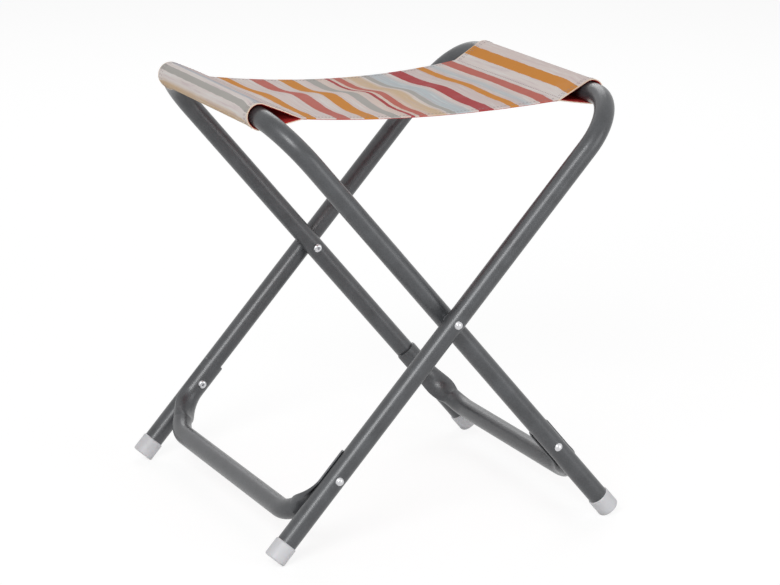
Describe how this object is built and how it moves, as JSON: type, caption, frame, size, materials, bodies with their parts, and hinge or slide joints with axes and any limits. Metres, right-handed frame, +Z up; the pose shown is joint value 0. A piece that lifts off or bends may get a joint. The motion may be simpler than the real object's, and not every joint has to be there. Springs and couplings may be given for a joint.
{
  "type": "folding fishing stool",
  "caption": "Folding stool: two bent tube frames crossed on a pivot, riveted stretchers, plastic foot caps and a striped cloth seat slung between the top bars.",
  "frame": {"origin": "on the floor, midway between the four feet, below the middle of the pivot axis", "axes": "+Z up; Y along the seat bars and the pivot axis; X from the seat bar of the inner frame (at -X) to the seat bar of the outer frame (at +X)"},
  "size_m": [0.3842, 0.3948, 0.4319],
  "materials": {
    "frame_coating": "satin hammered grey coating",
    "foot_plastic": "light grey moulded",
    "rivet_steel": "bright zinc",
    "spacer_steel": "zinc",
    "sleeve_cloth": "woven, striped",
    "seat_cloth": "woven, striped, red underside"
  },
  "bodies": {
    "outer_frame": {"outer_foot_cap_far": "foot_plastic", "outer_foot_cap_near": "foot_plastic", "outer_frame_tube": "frame_coating", "outer_stretcher": "frame_coating", "outer_stretcher_rivet_far": "rivet_steel", "outer_stretcher_rivet_near": "rivet_steel", "pivot_rivet_far": "rivet_steel", "pivot_rivet_near": "rivet_steel", "pivot_spacer_far": "spacer_steel", "pivot_spacer_near": "spacer_steel", "seat_panel": "seat_cloth", "seat_sleeve_right": "sleeve_cloth"},
    "inner_frame": {"inner_foot_cap_far": "foot_plastic", "inner_foot_cap_near": "foot_plastic", "inner_frame_tube": "frame_coating", "inner_stretcher": "frame_coating", "inner_stretcher_rivet_far": "rivet_steel", "inner_stretcher_rivet_near": "rivet_steel", "seat_sleeve_left": "sleeve_cloth"}
  },
  "joints": [
    {"name": "fold", "type": "hinge", "parent": "outer_frame", "child": "inner_frame", "pos_m": [0, 0, 0.21935], "axis": [0, 1, 0], "range_deg": [0, 74.6], "deforming": ["seat_panel"]}
  ]
}
